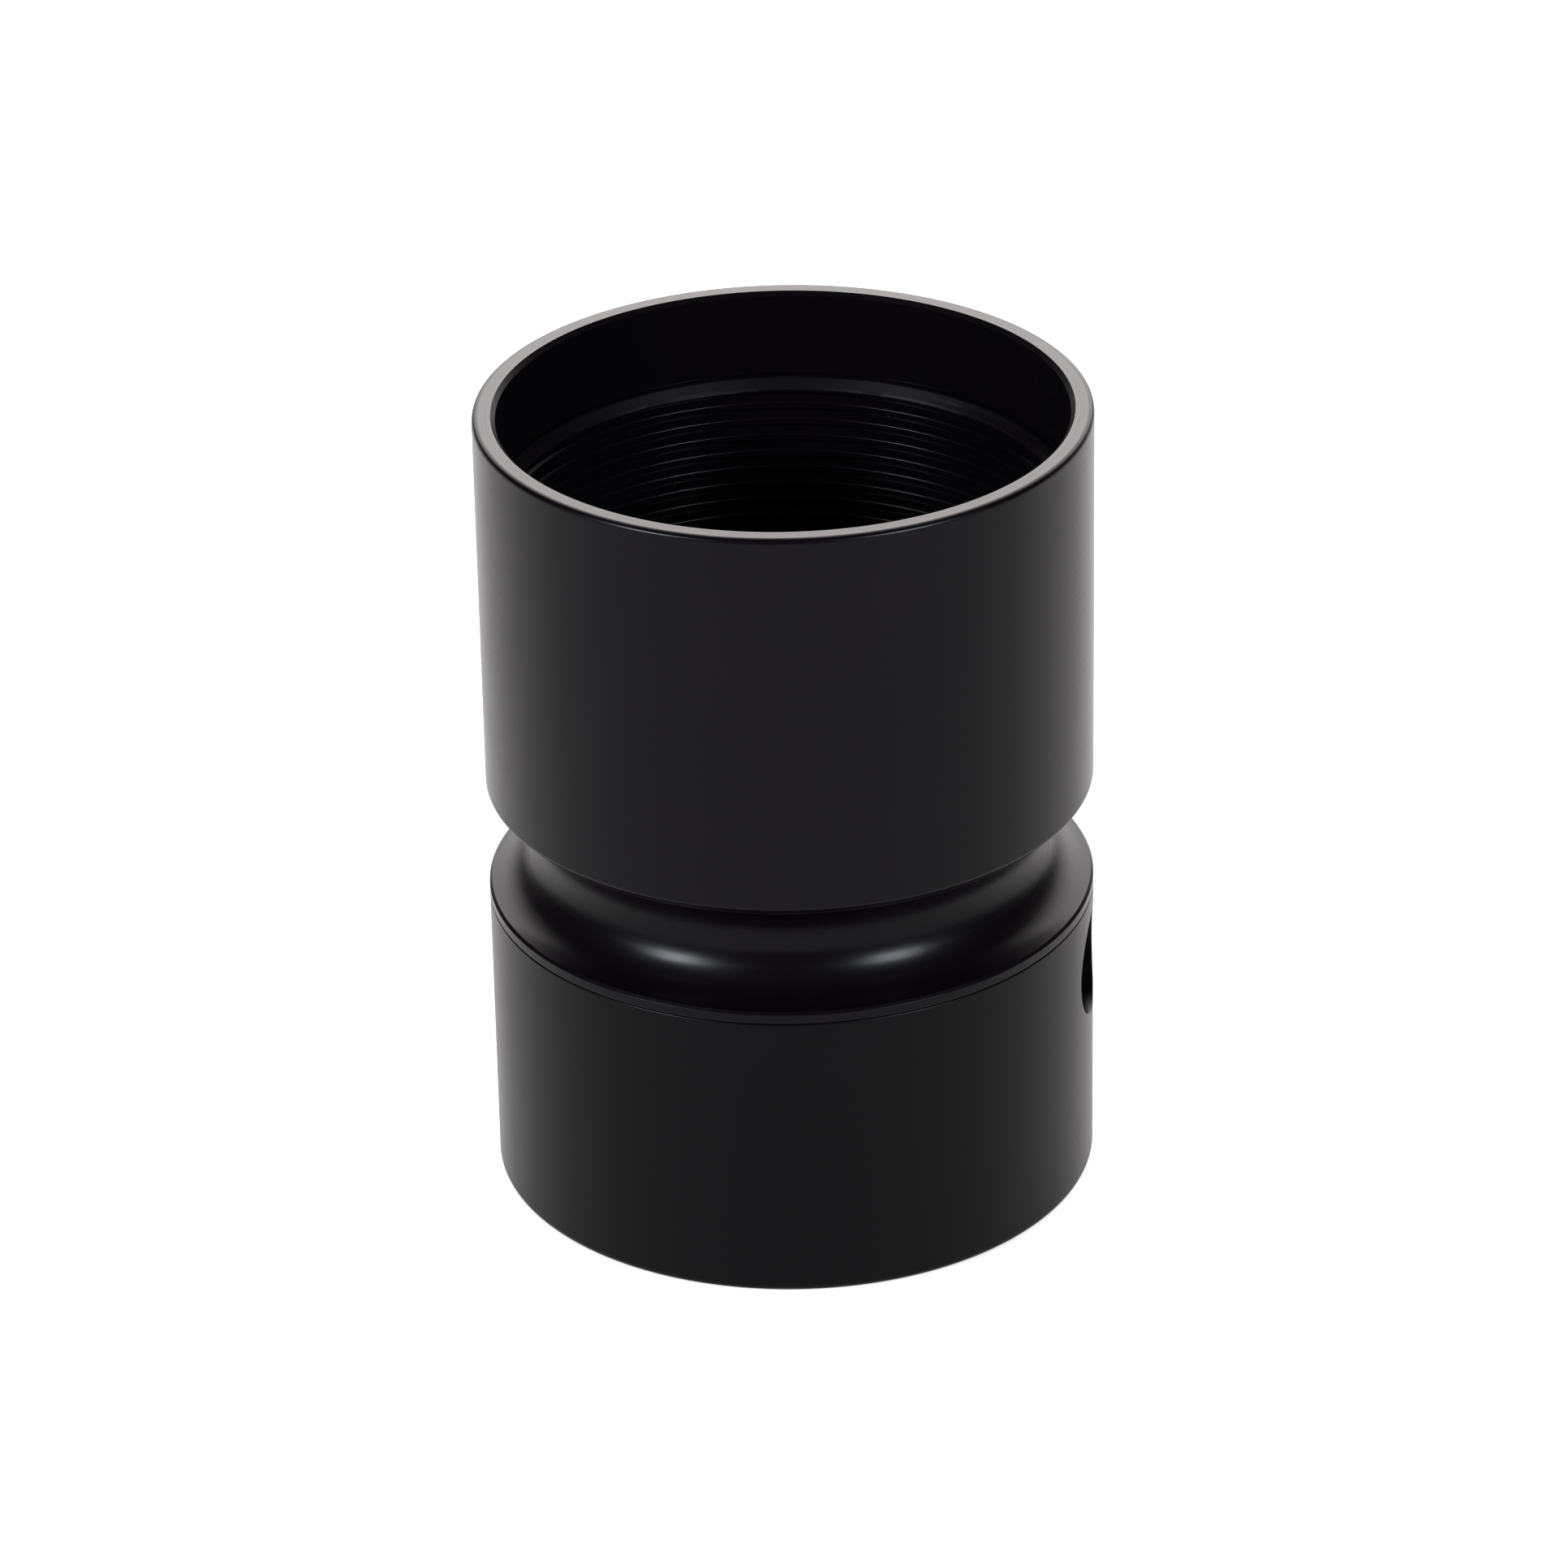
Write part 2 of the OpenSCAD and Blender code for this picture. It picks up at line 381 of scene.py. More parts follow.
def tinted(v, red, blue):
    """A grey with its red and blue raised by a part of it."""
    return (v * (1 + red), v, v * (1 + blue), 1.0)


def grey(v, warm=0.0):
    """A grey, made warmer or, below zero, cooler."""
    return tinted(v, warm, -warm)


def anodised(name, tone, roughness, turning=0.25, ior=1.185):
    """Black dyed oxide on turned aluminium: satin, a fine grain and faint turning lines."""
    n = Nodes(name)
    spot, across = n.place()
    blotch = n.noise(0.22, 3, vector=spot)
    grain = n.noise(9, 3, vector=spot)
    lines = n.noise(7, 4, w=across)
    colour = n.mix(blotch, tinted(tone * 0.8, 0.5, 0.7), tinted(tone * 1.2, 0.6, 0.5))
    n.link(colour, n.bsdf.inputs["Base Color"])
    smudge = n.noise(0.35, 4, vector=spot)
    worn = n.vary(smudge, roughness - 0.008, roughness + 0.01)
    n.link(n.math("ADD", worn, n.vary(lines, -0.02, 0.02)), n.bsdf.inputs["Roughness"])
    height = n.math("ADD", n.math("MULTIPLY", lines, turning), n.math("MULTIPLY", grain, 0.2))
    n.bump(height, 0.05, GRAIN_DEPTH)
    n.set(IOR=ior, Metallic=0.0)
    return n.material


def bare_rim(name):
    """The lapped face of the rim, where the finish is thin and the metal shows."""
    n = Nodes(name)
    spot, across = n.place()
    lines = n.noise(12, 5, w=across)
    blotch = n.noise(0.5, 4, vector=spot)
    colour = n.mix(blotch, grey(0.0235, 0.03), grey(0.0285, 0.03))
    n.link(colour, n.bsdf.inputs["Base Color"])
    n.link(n.vary(lines, 0.3, 0.42), n.bsdf.inputs["Roughness"])
    n.bump(lines, 0.1, GRAIN_DEPTH)
    n.set(Metallic=1.0)
    return n.material


def black_oxide(name):
    """Blackened steel of the clamp screw."""
    n = Nodes(name)
    spot, _ = n.place()
    blotch = n.noise(1.2, 4, vector=spot)
    grain = n.noise(14, 3, vector=spot)
    colour = n.mix(blotch, grey(0.045, -0.04), grey(0.09, 0.02))
    n.link(colour, n.bsdf.inputs["Base Color"])
    n.link(n.vary(grain, 0.3, 0.44), n.bsdf.inputs["Roughness"])
    n.bump(grain, 0.15, GRAIN_DEPTH)
    n.set(Metallic=0.85)
    return n.material


def nylon(name):
    """Natural nylon: milky, slightly soft."""
    n = Nodes(name)
    spot, _ = n.place()
    blotch = n.noise(1.5, 3, vector=spot)
    n.link(n.mix(blotch, (0.74, 0.71, 0.62, 1), (0.84, 0.82, 0.75, 1)), n.bsdf.inputs["Base Color"])
    grain = n.noise(10, 3, vector=spot)
    n.link(n.vary(grain, 0.42, 0.55), n.bsdf.inputs["Roughness"])
    n.bump(grain, 0.1, 2 * GRAIN_DEPTH)
    n.set(Subsurface_Weight=0.2, Subsurface_Scale=1 * MM, IOR=1.53)
    return n.material


def coated_glass(name, ior, tint):
    """Polished lens glass with a thin anti-reflection coating."""
    n = Nodes(name)
    spot, _ = n.place()
    haze = n.noise(0.6, 4, vector=spot)
    n.link(n.remap(haze, 0.35, 0.75, 0.0, 0.03), n.bsdf.inputs["Roughness"])
    n.set(Base_Color=tint, IOR=ior, Transmission_Weight=1.0)
    n.set(Thin_Film_Thickness=COATING_NM, Thin_Film_IOR=COATING_IOR)
    return n.material


def ground_edge(name):
    """The blackened ground edge of a lens."""
    n = Nodes(name)
    spot, _ = n.place()
    grain = n.noise(12, 3, vector=spot)
    n.link(n.mix(grain, grey(0.012), grey(0.03)), n.bsdf.inputs["Base Color"])
    n.link(n.vary(grain, 0.55, 0.7), n.bsdf.inputs["Roughness"])
    n.bump(grain, 0.2, 2 * GRAIN_DEPTH)
    return n.material


# ---------------------------------------------------------------- pieces

# material slots: 0 is the barrel's plain wall, and a lens's polished face
MARK_RIM, MARK_CONE, MARK_THREAD = range(1, 4)
MARK_POLISHED, MARK_GROUND = range(2)

# mouth of the barrel
RIM_CHAMFER = 0.3 * MM
MOUTH_CHAMFER = 0.25 * MM
MOUTH_FLOOR_Z = TOP_Z - 5.15 * MM
STEP_W = 0.2 * MM
STEP_EDGE = 0.03 * MM
RELIEF_W = 0.18 * MM
RELIEF_H = 0.12 * MM
LEAD_TOP_Z = MOUTH_FLOOR_Z - 0.1 * MM
LEAD_LOW_Z = LEAD_TOP_Z - 0.6 * MM

# threads: a row is a part of the pitch, closer together where the profile turns
THREAD_PITCH = 1.0 * MM
THREAD_DEPTH = 0.5 * MM
THREAD_ROOT_R = THREAD_R + THREAD_DEPTH
THREAD_PHASE = 0.63
THREAD_FLANK_LOW = (0.13, 0.158, 0.175, 0.192, 0.21, 0.3, 0.44, 0.465, 0.485)
THREAD_ROWS = (0, *THREAD_FLANK_LOW, *(1 - part for part in reversed(THREAD_FLANK_LOW)))
PLAIN_ROWS = (0, 0.12, 0.17, 0.22, 0.34, 0.44, 0.5, 0.56, 0.66, 0.78, 0.83, 0.88)
ROOT_FLAT = 0.06

# seat of the lens cell, the stop and the neck
CELL_SEAT_Z = 30.3 * MM
CELL_FLANGE_Z = CELL_SEAT_Z + 0.05 * MM
THREAD_LOW_Z = CELL_SEAT_Z + 0.6 * MM
CELL_HOLE_R = 13.93 * MM
CELL_HOLE_CHAMFER = 0.2 * MM
CELL_THREAD_R = 13.87 * MM
CELL_PITCH = 0.6 * MM
CELL_DEPTH = 0.3 * MM
CELL_CREST = 0.34
FLOOR_Z = 25.1 * MM
STOP_Z = 24.0 * MM
STOP_R = 11.0 * MM
NECK_BORE_R = 13.2 * MM
NECK_R = 13.15 * MM
APERTURE_R = 10.6 * MM
LENS_BEVEL = 0.12 * MM
CAP_ROWS = 16

# waist and seam
WAIST_Z = 20.9 * MM
WAIST_R = 3.0 * MM
WAIST_TOP_Z = WAIST_Z + WAIST_R
WAIST_LOW_Z = WAIST_Z - WAIST_R
WAIST_SWEEP = (264, 99)
WAIST_SEGMENTS = 44
LIP_CHAMFER = 0.45 * MM
LIP_ROUND = 0.25 * MM
WALL_START_Z = WAIST_TOP_Z + 2 * MM
SHELF_CHAMFER = 0.15 * MM
SHELF_EDGE = 0.03 * MM
SHELF_START = 0.35 * MM
SEAM_EDGE = 0.09 * MM
SEAM_GAP = 0.02 * MM

# clamp hole, along X, and its screw
HOLE_R = 3.125 * MM
HOLE_FLOOR_X = 16.6 * MM
TAP_R = 3.0 * MM
TAP_START_X = 16.5 * MM
TAP_END_X = 12.7 * MM
TAP_DEPTH = 0.22 * MM
TAP_CREST = 0.4
TAP_ROW = 0.07 * MM
HOLE_EDGE = 0.1 * MM
CLAMP_PITCH = 1.0 * MM
PATCH_HALF_H = 4.1 * MM
PATCH_SHARES = (1, 0.82, 0.64, 0.46, 0.3, 0.17, 0.08, 0.03, 0)


def mouth_thread_radius(z, turn):
    """Wall radius of the mouth thread, which runs out into the lead-in cone."""
    groove = v_groove(z, turn + THREAD_PHASE, THREAD_PITCH, 0.36, ROOT_FLAT)
    ends = smooth((LEAD_TOP_Z - z) / (0.35 * THREAD_PITCH))
    cone = THREAD_R + (z - LEAD_LOW_Z) / (LEAD_TOP_Z - LEAD_LOW_Z) * (MOUTH_R - STEP_W - THREAD_R)
    return np.maximum(THREAD_R + THREAD_DEPTH * groove * ends, cone)


def cell_hole_radius(z, turn):
    """Wall radius of the hole that the cell screws into."""
    low_end = smooth((z - FLOOR_Z - CELL_HOLE_CHAMFER) / CELL_PITCH)
    high_end = smooth((CELL_SEAT_Z - CELL_HOLE_CHAMFER - z) / (0.3 * CELL_PITCH))
    groove = v_groove(z, turn, CELL_PITCH, CELL_CREST, ROOT_FLAT)
    return CELL_HOLE_R + CELL_DEPTH * groove * low_end * high_end


def cell_thread_radius(z, turn):
    """Radius of the cell's own thread."""
    low_end = smooth((z - cell_low.z - 0.2 * MM) / (0.5 * CELL_PITCH))
    high_end = smooth((CELL_SEAT_Z - z) / CELL_PITCH)
    groove = v_groove(z, turn, CELL_PITCH, CELL_CREST, ROOT_FLAT)
    return CELL_THREAD_R - CELL_DEPTH * groove * low_end * high_end


def build_barrel():
    """The upper shell: down the mouth, through the neck and back up the waist groove."""
    lathe = Lathe(300)
    rim = fillet([
        (BODY_R, WALL_START_Z, 0),
        (BODY_R, TOP_Z, RIM_CHAMFER),
        (MOUTH_R + MOUTH_CHAMFER, TOP_Z, 0),
        (MOUTH_R, TOP_Z - MOUTH_CHAMFER, 0),
    ], closed=False)
    flat_from = next(i for i, p in enumerate(rim) if p[1] > TOP_Z - SLIVER_LENGTH)
    lathe.rings(rim[:flat_from + 1])
    lathe.rings([rim[flat_from + 1], (MOUTH_R + MOUTH_CHAMFER + 0.02 * MM, TOP_Z), rim[-2]], MARK_RIM)
    lathe.rings([rim[-1], (MOUTH_R, TOP_Z - MOUTH_CHAMFER - 0.06 * MM)])
    lathe.rings([
        (MOUTH_R, MOUTH_FLOOR_Z + RELIEF_H + 0.1 * MM),
        (MOUTH_R, MOUTH_FLOOR_Z + RELIEF_H),
        (MOUTH_R + RELIEF_W, MOUTH_FLOOR_Z + RELIEF_H),
        (MOUTH_R + RELIEF_W, MOUTH_FLOOR_Z),
        (MOUTH_R - STEP_W + STEP_EDGE, MOUTH_FLOOR_Z),
        (MOUTH_R - STEP_W, MOUTH_FLOOR_Z - STEP_EDGE),
        (MOUTH_R - STEP_W, LEAD_TOP_Z),
    ])
    lathe.thread(LEAD_TOP_Z, THREAD_LOW_Z, THREAD_PITCH, mouth_thread_radius, THREAD_ROWS,
                 phase=THREAD_PHASE, mark=MARK_THREAD)
    lathe.rings([
        (THREAD_ROOT_R, THREAD_LOW_Z),
        (THREAD_ROOT_R, CELL_SEAT_Z),
        (CELL_HOLE_R + CELL_HOLE_CHAMFER, CELL_SEAT_Z),
        (CELL_HOLE_R, CELL_SEAT_Z - CELL_HOLE_CHAMFER),
    ])
    cell_hole_low_z = FLOOR_Z + CELL_HOLE_CHAMFER
    lathe.thread(CELL_SEAT_Z - CELL_HOLE_CHAMFER, cell_hole_low_z, CELL_PITCH, cell_hole_radius, PLAIN_ROWS)
    inside = fillet([
        (CELL_HOLE_R, cell_hole_low_z, 0),
        (CELL_HOLE_R, FLOOR_Z, 0),
        (STOP_R, FLOOR_Z, 0.12 * MM),
        (STOP_R, STOP_Z, 0.12 * MM),
        (NECK_BORE_R, STOP_Z, 0),
        (NECK_BORE_R, SEAM_Z, 0.08 * MM),
        (BODY_R, SEAM_Z, SEAM_EDGE),
        (BODY_R, WAIST_LOW_Z - SHELF_CHAMFER, SHELF_EDGE),
        (BODY_R - SHELF_CHAMFER, WAIST_LOW_Z, SHELF_EDGE),
        (BODY_R - SHELF_START, WAIST_LOW_Z, 0),
    ], segments=4, closed=False)
    lathe.rings(inside[:-1])
    lathe.rings(arc(BODY_R, WAIST_Z, WAIST_R, *WAIST_SWEEP, WAIST_SEGMENTS))
    lip = fillet([
        (BODY_R - LIP_CHAMFER, WAIST_TOP_Z, 0),
        (BODY_R, WAIST_TOP_Z + LIP_CHAMFER, LIP_ROUND),
        (BODY_R, WALL_START_Z, 0),
    ], closed=False)
    lathe.rings(lip[:-1])
    lathe.close()
    barrel = lathe.mesh("upper_barrel_fine")
    for face in barrel.data.polygons:
        if face.material_index == MARK_THREAD and face.center.z > LEAD_LOW_Z:
            face.material_index = MARK_CONE
    return barrel


def tap_radius(x, turn):
    """Wall radius along the tapped clamp hole."""
    inner_end = smooth((x - TAP_END_X) / (0.5 * MM))
    outer_end = smooth((TAP_START_X - x) / (0.4 * MM))
    groove = v_groove(x, turn, CLAMP_PITCH, TAP_CREST, ROOT_FLAT)
    return TAP_R + TAP_DEPTH * groove * inner_end * outer_end


class Patch:
    """A square of a cylinder wall round a hole, filled by rings from the hole to its border."""

    def __init__(self, wall_r, columns, half, z_low, z_high):
        self.wall_r = wall_r
        step = TAU / columns
        sides = 2 * half
        a = (np.arange(sides + 1) - half) * step
        z = np.linspace(z_low, z_high, sides + 1)
        border = [(v, z_low) for v in a[:-1]]
        border += [(a[-1], v) for v in z[:-1]]
        border += [(v, z_high) for v in a[:0:-1]]
        border += [(a[0], v) for v in z[:0:-1]]
        self.border = np.array(border)
        self.rows_z = z

    def ring(self, share, hole_r, centre_z):
        """Points between the hole's edge (share 0) and the border (share 1)."""
        y = self.border[:, 0] * self.wall_r
        z = self.border[:, 1] - centre_z
        bearing = np.arctan2(z, y)
        edge_y, edge_z = hole_r * np.cos(bearing), hole_r * np.sin(bearing)
        edge_arc = self.wall_r * np.arcsin(edge_y / self.wall_r)
        arc_y = edge_arc + (y - edge_arc) * share
        height = edge_z + (z - edge_z) * share + centre_z
        angle = arc_y / self.wall_r
        return np.stack([self.wall_r * np.cos(angle), self.wall_r * np.sin(angle), height], 1)


def build_holder():
    """The lower shell: rings round Z with a square left out of both walls, joined by the clamp hole."""
    columns = 300
    half = 15
    angle = np.arange(columns) * TAU / columns
    vertices = []
    faces = []

    def add(points):
        start = sum(len(v) for v in vertices)
        vertices.append(np.asarray(points))
        return list(range(start, start + len(points)))

    def ring(r, z):
        return add(np.stack([r * np.cos(angle), r * np.sin(angle), np.full(columns, z)], 1))

    def join(low, high, skip=0):
        count = len(low)
        for i in range(skip, count - skip):
            j = (i + 1) % count
            faces.append((low[i], low[j], high[j], high[i]))

    outer = Patch(BODY_R, columns, half, CLAMP_Z - PATCH_HALF_H, CLAMP_Z + PATCH_HALF_H)
    inner = Patch(SOCKET_R, columns, half, CLAMP_Z - PATCH_HALF_H, CLAMP_Z + PATCH_HALF_H)
    top_z = SEAM_Z - SEAM_GAP
    socket_chamfer = 0.55 * MM
    outside_low = fillet([
        (SOCKET_R, 2 * MM, 0),
        (SOCKET_R, socket_chamfer, 0.1 * MM),
        (SOCKET_R + socket_chamfer, 0, 0.1 * MM),
        (BODY_R, 0, 0.4 * MM),
        (BODY_R, outer.rows_z[0], 0),
    ], closed=False)
    top = fillet([
        (BODY_R, outer.rows_z[-1], 0),
        (BODY_R, top_z, SEAM_EDGE),
        (NECK_R, top_z, 0),
        (NECK_R, holder_high.z, 0.25 * MM),
        (SOCKET_R, holder_high.z, 0.12 * MM),
        (SOCKET_R, inner.rows_z[-1], 0),
    ], closed=False)
    rows = [(r, z, False) for r, z in outside_low[1:-1]]
    rows += [(BODY_R, z, True) for z in outer.rows_z]
    rows += [(r, z, False) for r, z in top[1:-1]]
    rows += [(SOCKET_R, z, True) for z in inner.rows_z[::-1]]
    made = [ring(r, z) for r, z, _ in rows]
    for k, row in enumerate(rows):
        following = (k + 1) % len(rows)
        in_patch = row[2] and rows[following][2] and row[0] == rows[following][0]
        join(made[k], made[following], half if in_patch else 0)

    turn_angle = np.arctan2(outer.border[:, 1] - CLAMP_Z, outer.border[:, 0] * BODY_R)
    share = (turn_angle % TAU) / TAU

    def patch_rings(patch, hole_r):
        return [add(patch.ring(s, hole_r + HOLE_EDGE, CLAMP_Z)) for s in PATCH_SHARES]

    def hole_ring(x, r):
        x = np.broadcast_to(x, len(turn_angle))
        return add(np.stack([x, r * np.cos(turn_angle), CLAMP_Z + r * np.sin(turn_angle)], 1))

    def edge_ring(wall_r, hole_r, k, inwards):
        """One of four rings that round the hole's edge at a wall. inwards is the way into the metal, in X."""
        a = math.pi / 2 * k / 4
        r = hole_r + HOLE_EDGE * (1 - math.sin(a))
        wall_x = np.sqrt(wall_r ** 2 - (r * np.cos(turn_angle)) ** 2)
        return hole_ring(wall_x + inwards * HOLE_EDGE * (1 - math.cos(a)), r)

    loops = patch_rings(outer, HOLE_R)
    loops += [edge_ring(BODY_R, HOLE_R, k, -1) for k in range(1, 5)]
    loops.append(hole_ring(HOLE_FLOOR_X + 0.06 * MM, HOLE_R))
    loops.append(hole_ring(HOLE_FLOOR_X, HOLE_R))
    loops.append(hole_ring(HOLE_FLOOR_X, TAP_R))
    for x in np.arange(TAP_START_X, TAP_END_X - 0.1 * MM, -TAP_ROW):
        loops.append(hole_ring(x, tap_radius(x, share)))
    loops += [edge_ring(SOCKET_R, TAP_R, k, 1) for k in range(4, 0, -1)]
    loops += patch_rings(inner, TAP_R)[::-1]
    for low, high in zip(loops, loops[1:]):
        join(low, high)
    return make_mesh("eyepiece_holder_fine", np.concatenate(vertices), faces, [0] * len(faces))


def build_cell():
    """The lens cell, with two spanner notches in its flange."""
    lathe = Lathe(288)
    flange_r = cell_high.x
    top = cell_high.z
    bore_r = LENS_R + 0.06 * MM
    floor_z = cell_low.z + 0.6 * MM
    chamfer = 0.15 * MM
    edge = 0.1 * MM
    lathe.ring(CELL_THREAD_R - chamfer, cell_low.z)
    lathe.ring(CELL_THREAD_R, cell_low.z + chamfer)
    lathe.thread(cell_low.z + chamfer, CELL_FLANGE_Z, CELL_PITCH, cell_thread_radius, PLAIN_ROWS)
    lathe.rings(fillet([
        (CELL_THREAD_R, CELL_FLANGE_Z, 0),
        (flange_r, CELL_FLANGE_Z, 0.08 * MM),
        (flange_r, top, edge),
        (bore_r, top, edge),
        (bore_r, floor_z, 0),
        (APERTURE_R, floor_z, edge),
        (APERTURE_R, cell_low.z, edge),
        (CELL_THREAD_R - chamfer, cell_low.z, 0),
    ], segments=4, closed=False))
    lathe.close()
    cell = lathe.mesh("lens_cell_fine")
    notch_r = 0.8 * MM
    for side in (-1, 1):
        cell = cut(cell, rod(notch_r, CELL_FLANGE_Z - 0.002 * MM, top + 1 * MM, (0, side * flange_r)))
    return cell


def rod(r, z0, z1, centre):
    """A plain cutter rod along Z."""
    lathe = Lathe(48)
    lathe.ring(r, z0).ring(r, z1)
    lathe.cap_start(z0).cap_end(z1)
    obj = lathe.mesh("cutter")
    obj.data.transform(Matrix.Translation((centre[0], centre[1], 0)))
    return obj


def slab(low, high):
    """A plain cutter box."""
    corners = [(x, y, z) for x in (low[0], high[0]) for y in (low[1], high[1]) for z in (low[2], high[2])]
    faces = [(0, 1, 3, 2), (4, 6, 7, 5), (0, 4, 5, 1), (2, 3, 7, 6), (0, 2, 6, 4), (1, 5, 7, 3)]
    return make_mesh("cutter", corners, faces, [0] * len(faces))


def build_ring():
    """The retaining ring, with two slots across its top."""
    lathe = Lathe(240)
    chamfer = 0.2 * MM
    lathe.rings(fillet([
        (APERTURE_R, ring_low.z, 0.06 * MM),
        (LENS_R, ring_low.z, 0.06 * MM),
        (LENS_R, ring_high.z, 0.08 * MM),
        (APERTURE_R + chamfer, ring_high.z, 0.05 * MM),
        (APERTURE_R, ring_high.z - chamfer, 0.05 * MM),
    ], segments=3))
    lathe.close()
    ring = lathe.mesh("retaining_ring_fine")
    slot_half = 0.7 * MM
    slot_z = ring_high.z - 0.45 * MM
    for side in (-1, 1):
        x0, x1 = sorted((side * (APERTURE_R - 2 * MM), side * (LENS_R + 2 * MM)))
        ring = cut(ring, slab((x0, -slot_half, slot_z), (x1, slot_half, ring_high.z + 1 * MM)))
    return ring


def cap_rows(edge_z, surface_r, edge_r, hollow_up):
    """Rows of a spherical cap from its edge inwards, and its height on the axis. hollow_up is +1 or -1."""
    base = math.sqrt(surface_r ** 2 - edge_r ** 2)
    rows = []
    for k in range(CAP_ROWS):
        r = edge_r * (1 - k / CAP_ROWS)
        rows.append((r, edge_z - hollow_up * (math.sqrt(surface_r ** 2 - r ** 2) - base)))
    return rows, edge_z - hollow_up * (surface_r - base)


def build_lens(name, edge_low, edge_high, low_cap, high_cap):
    """A lens from its edge heights and two spherical faces, each (surface radius, edge radius, hollow_up)."""
    lathe = Lathe(192)
    low_rows, low_tip = cap_rows(edge_low, *low_cap)
    high_rows, high_tip = cap_rows(edge_high, *high_cap)
    lathe.rings(low_rows[::-1], MARK_POLISHED)
    bevel_r = LENS_R - LENS_BEVEL
    if low_cap[1] < bevel_r:
        lathe.ring(bevel_r, edge_low, MARK_GROUND)
    lathe.rings([(LENS_R, edge_low + LENS_BEVEL), (LENS_R, edge_high - LENS_BEVEL)], MARK_GROUND)
    if high_cap[1] < bevel_r:
        lathe.ring(bevel_r, edge_high, MARK_GROUND)
    lathe.ring(*high_rows[0], MARK_GROUND)
    lathe.rings(high_rows[1:], MARK_POLISHED)
    lathe.cap_end(high_tip, MARK_POLISHED)
    lathe.cap_start(low_tip, MARK_POLISHED)
    return lathe.mesh(name)


def build_glass():
    """The two lenses, which share the curve of their cemented joint."""
    rear = (80 * MM, APERTURE_R, -1)
    joint = (55 * MM, LENS_R - LENS_BEVEL, 1)
    front = (120 * MM, APERTURE_R, 1)
    cement = 0.02 * MM
    crown = build_lens("crown_lens_fine", crown_low.z, crown_high.z, rear, joint)
    flint = build_lens("flint_lens_fine", crown_high.z + cement, flint_high.z, joint, front)
    return crown, flint


def turned_to_x(obj, x0):
    """Moves a piece made round Z, with its base at zero, to lie along +X from x0 at the clamp's height."""
    turn = Matrix.Rotation(math.radians(90), 4, "Y")
    obj.data.transform(Matrix.Translation((x0, 0, CLAMP_Z)) @ turn)
    return obj


def build_screw():
    """The clamp screw: a recess for the pad at its nose, a thread and a hexagon socket."""
    length = screw_high.x - screw_low.x
    r = 2.95 * MM
    depth = 0.42 * MM
    chamfer = 0.35 * MM
    recess_r = 1.85 * MM
    recess_depth = 0.75 * MM
    flats = 3.0 * MM
    socket_z = length - 1.7 * MM
    drill_r = 1.3 * MM
    lathe = Lathe(120)
    sixth = TAU / 6
    hex_r = flats / 2 / np.cos((lathe.angle + sixth / 2) % sixth - sixth / 2)

    def wall(z, turn):
        low_end = smooth((z - chamfer) / (0.4 * MM))
        high_end = smooth((length - chamfer - z) / (0.4 * MM))
        return r - depth * v_groove(z, turn, CLAMP_PITCH, 0.2, 0.1) * low_end * high_end

    lathe.ring(recess_r, recess_depth)
    lathe.rings([(recess_r, 0.05 * MM), (recess_r + 0.05 * MM, 0), (r - chamfer, 0), (r, chamfer)])
    lathe.thread(chamfer, length - chamfer, CLAMP_PITCH, wall, PLAIN_ROWS)
    lathe.rings([(r - 0.3 * MM, length - 0.03 * MM), (r - chamfer, length)])
    lathe.ring(hex_r + 0.16 * MM, length)
    lathe.ring(hex_r, length - 0.14 * MM)
    lathe.ring(hex_r, socket_z)
    lathe.ring(drill_r, socket_z)
    lathe.cap_end(socket_z - 0.5 * MM)
    lathe.cap_start(recess_depth)
    return turned_to_x(lathe.mesh("set_screw_fine"), screw_low.x)


def build_tip():
    """The nylon pad in the screw's nose."""
    length = tip_high.x - tip_low.x
    r = (tip_high.z - tip_low.z) / 2
    lathe = Lathe(72)
    lathe.rings(fillet([
        (r * 0.5, 0, 0),
        (r, 0, 0.25 * MM),
        (r, length, 0.08 * MM),
        (r * 0.5, length, 0),
    ], closed=False))
    lathe.cap_end(length)
    lathe.cap_start(0)
    return turned_to_x(lathe.mesh("screw_tip_fine"), tip_low.x)


def build_object():
    """Every piece with its body, CAD node and finish."""
    barrel_finishes = (
        anodised("barrel_black", 0.0009, 0.285),
        bare_rim("rim_metal"),
        anodised("cone_black", 0.001, 0.45, ior=1.15),
        anodised("thread_black", 0.0008, 0.25),
    )
    use(build_barrel(), "barrel", "upper_barrel", "barrel_anodised", *barrel_finishes)
    # darker than the barrel's finish: partly the holder's own anodise, partly painted shade for the dim floor
    # it reflects near the base
    holder_black_shaded = anodised("holder_black_shaded", 0.0006, 0.32, ior=1.165)
    use(build_holder(), "barrel", "eyepiece_holder", "holder_anodised", holder_black_shaded)
    use(build_cell(), "cell", "lens_cell", "cell_anodised", anodised("cell_black", 0.006, 0.42, 0.4))
    use(build_ring(), "cell", "retaining_ring", "ring_anodised", anodised("ring_black", 0.006, 0.38, 0.4))
    crown, flint = build_glass()
    edge = ground_edge("ground_edge")
    crown_glass = coated_glass("crown_glass", 1.52, (0.97, 1, 0.99, 1))
    flint_glass = coated_glass("flint_glass", 1.62, (0.98, 0.99, 1, 1))
    use(crown, "lens_group", "crown_lens", "crown_glass", crown_glass, edge)
    use(flint, "lens_group", "flint_lens", "flint_glass", flint_glass, edge)
    use(build_screw(), "clamp", "set_screw", "screw_steel", black_oxide("black_oxide"))
    use(build_tip(), "pad", "screw_tip", "tip_nylon", nylon("nylon"))


# ---------------------------------------------------------------- floor, lights and camera

